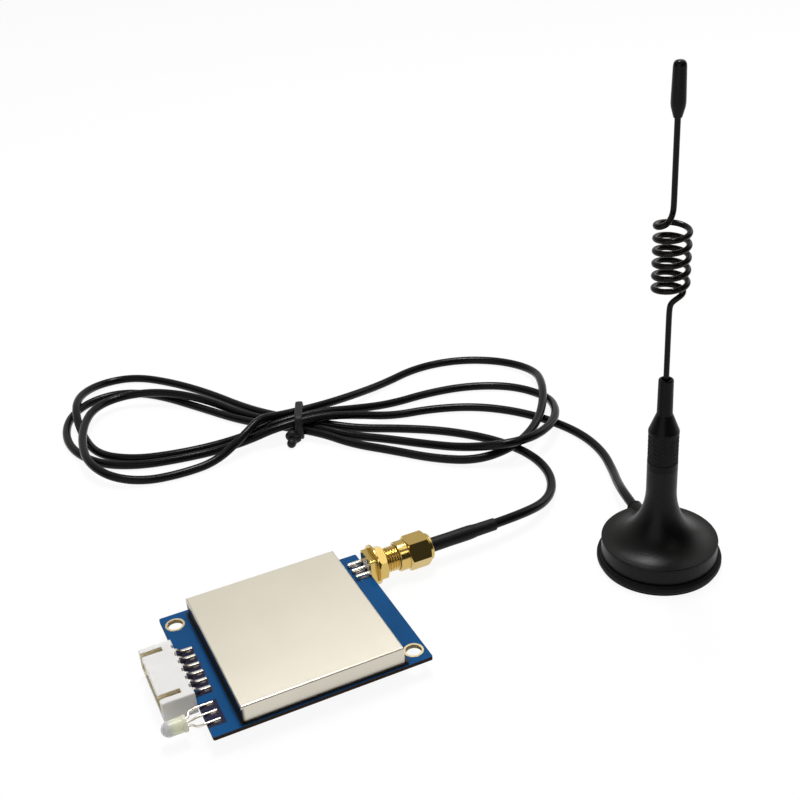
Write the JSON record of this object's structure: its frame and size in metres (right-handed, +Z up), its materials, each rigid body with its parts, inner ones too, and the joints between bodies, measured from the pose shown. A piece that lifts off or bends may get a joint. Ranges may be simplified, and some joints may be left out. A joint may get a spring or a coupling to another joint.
{
  "type": "lora radio module",
  "caption": "Shielded radio board with a pin header, status lamp and edge coaxial jack, joined by a tied cable to a coil whip antenna on a round magnetic foot.",
  "frame": {"origin": "floor point under the middle of the box round the rigid pieces, the cable and its plug left out", "axes": "+X from the board's header and lamp towards the antenna, +Y from the board's front edge to the jack's side, +Z up"},
  "size_m": [0.1312, 0.1626, 0.1063],
  "materials": {
    "board_laminate": "glossy blue solder mask",
    "gold_plate": "gold plated, machined",
    "tin_solder": "bright tin",
    "tinned_steel": "satin tin-plated sheet",
    "chip_epoxy": "moulded epoxy",
    "tinned_wire": "tinned",
    "crystal_can": "nickel lid",
    "ceramic_body": "fired ceramic",
    "white_nylon": "moulded nylon",
    "lamp_epoxy": "milky translucent",
    "white_ptfe": "turned fluoropolymer",
    "crimp_copper": "nickel plated",
    "sleeve_black": "shrunk polyolefin",
    "cable_jacket": "satin black jacket",
    "tie_rubber": "satin black",
    "base_plastic": "moulded, satin black",
    "foot_steel": "black coated",
    "foot_rubber": "matte",
    "magnet_ferrite": "sintered",
    "stud_steel": "turned",
    "black_lacquer": "black lacquer",
    "cap_vinyl": "dipped vinyl",
    "feed_copper": "enamelled copper"
  },
  "bodies": {
    "root": {"circuit_board": "board_laminate", "hole_plating": "gold_plate", "jack_body": "gold_plate", "jack_pin": "gold_plate", "jack_washer": "gold_plate", "jack_nut": "gold_plate", "plug_coupling_nut": "gold_plate", "plug_body": "gold_plate", "plug_pin": "gold_plate", "solder_pads": "tin_solder", "solder_joints": "tin_solder", "shield_frame": "tinned_steel", "shield_can": "tinned_steel", "transceiver_chip": "chip_epoxy", "controller_chip": "chip_epoxy", "rf_switch": "chip_epoxy", "controller_leads": "tinned_wire", "header_pins": "tinned_wire", "lamp_leads": "tinned_wire", "crystal": "crystal_can", "capacitors": "ceramic_body", "inductors": "ceramic_body", "header_housing": "white_nylon", "lamp_lens": "lamp_epoxy", "jack_insulator": "white_ptfe", "plug_insulator": "white_ptfe", "crimp_ferrule": "crimp_copper", "heat_shrink_sleeve": "sleeve_black", "antenna_cable": "cable_jacket", "cable_tie": "tie_rubber", "antenna_base_shell": "base_plastic", "cable_grommet": "base_plastic", "base_plate": "foot_steel", "foot_pad": "foot_rubber", "base_magnet": "magnet_ferrite", "whip_stud": "stud_steel", "whip_holder": "black_lacquer", "whip_wire": "black_lacquer", "whip_tip_cap": "cap_vinyl", "feed_wire": "feed_copper"}
  },
  "joints": []
}
